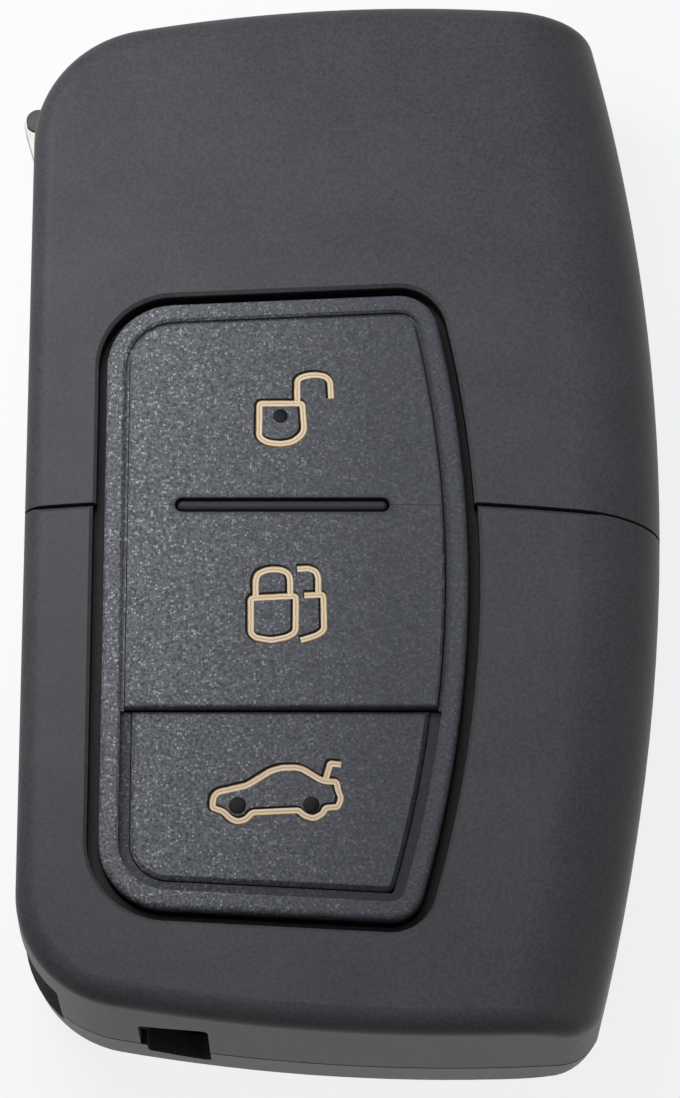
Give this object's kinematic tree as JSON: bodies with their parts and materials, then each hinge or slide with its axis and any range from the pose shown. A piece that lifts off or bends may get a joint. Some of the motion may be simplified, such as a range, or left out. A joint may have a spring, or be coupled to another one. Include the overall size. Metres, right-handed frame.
{
  "type": "folding car key fob",
  "caption": "Moulded key case with rubber lock, unlock and boot keys, a folding key blade and a slide-off transmitter unit.",
  "frame": {"origin": "on the flat back face, under the middle of the case and level with the bar between the two lock keys", "axes": "+X across the key to the bowed side, +Y towards the hinge end, +Z out of the button face"},
  "size_m": [0.0439, 0.0718, 0.0171],
  "materials": {
    "case_plastic": "fine matt texture",
    "inner_plastic": "smooth moulded",
    "pad_rubber": "matt, fine speckle",
    "blade_steel": "nickel plated",
    "spring_steel": "bright wire",
    "screw_steel": "zinc plated",
    "hub_plastic": "smooth moulded",
    "button_metal": "satin",
    "board_laminate": "solder mask",
    "cell_steel": "nickel plated",
    "contact_brass": "plated spring strip",
    "switch_metal": "pressed cover",
    "chip_resin": "moulded resin",
    "coil_copper": "enamelled wire"
  },
  "bodies": {
    "case": {"rear_shell": "case_plastic", "upper_front_shell": "case_plastic", "blade_deck": "inner_plastic", "deck_screws": "screw_steel", "transponder_chip": "chip_resin"},
    "blade": {"flip_hub": "hub_plastic", "key_blade": "blade_steel", "blade_roll_pin": "spring_steel", "flip_spring": "spring_steel"},
    "release": {"release_button": "button_metal"},
    "transmitter": {"lower_front_shell": "case_plastic", "battery_door": "inner_plastic", "circuit_board": "board_laminate", "coin_cell": "cell_steel", "battery_contact_negative": "contact_brass", "battery_contact_positive": "contact_brass", "unlock_switch": "switch_metal", "lock_switch": "switch_metal", "boot_switch": "switch_metal", "controller_chip": "chip_resin", "antenna_coil": "coil_copper", "button_pad": "pad_rubber"},
    "unlock": {"unlock_key": "pad_rubber"},
    "lock": {"lock_key": "pad_rubber"},
    "boot": {"boot_key": "pad_rubber"}
  },
  "joints": [
    {"name": "blade_flip", "type": "hinge", "parent": "case", "child": "blade", "pos_m": [-0.01425, 0.02855, 0.0055], "axis": [0, 0, -1], "range_deg": [0, 180]},
    {"name": "release_press", "type": "slide", "parent": "blade", "child": "release", "axis": [0, 0, 1], "range_m": [0, 0.0012], "stiffness_N_per_m": 1500, "springref_m": -0.0003, "deforming": ["flip_spring"]},
    {"name": "transmitter_slide", "type": "slide", "parent": "case", "child": "transmitter", "axis": [0, -1, 0], "range_m": [0, 0.042]},
    {"name": "unlock_press", "type": "hinge", "parent": "transmitter", "child": "unlock", "pos_m": [-0.0039, 0, 0.01572], "axis": [-1, 0, 0], "range_deg": [0, 2.2], "stiffness_Nm_per_rad": 0.12, "springref_deg": -0.29},
    {"name": "lock_press", "type": "hinge", "parent": "transmitter", "child": "lock", "pos_m": [-0.0039, 0, 0.01572], "axis": [1, 0, 0], "range_deg": [0, 2.2], "stiffness_Nm_per_rad": 0.12, "springref_deg": -0.29},
    {"name": "boot_press", "type": "slide", "parent": "transmitter", "child": "boot", "axis": [0, 0, -1], "range_m": [0, 0.00045], "stiffness_N_per_m": 1500, "springref_m": -0.0001}
  ]
}
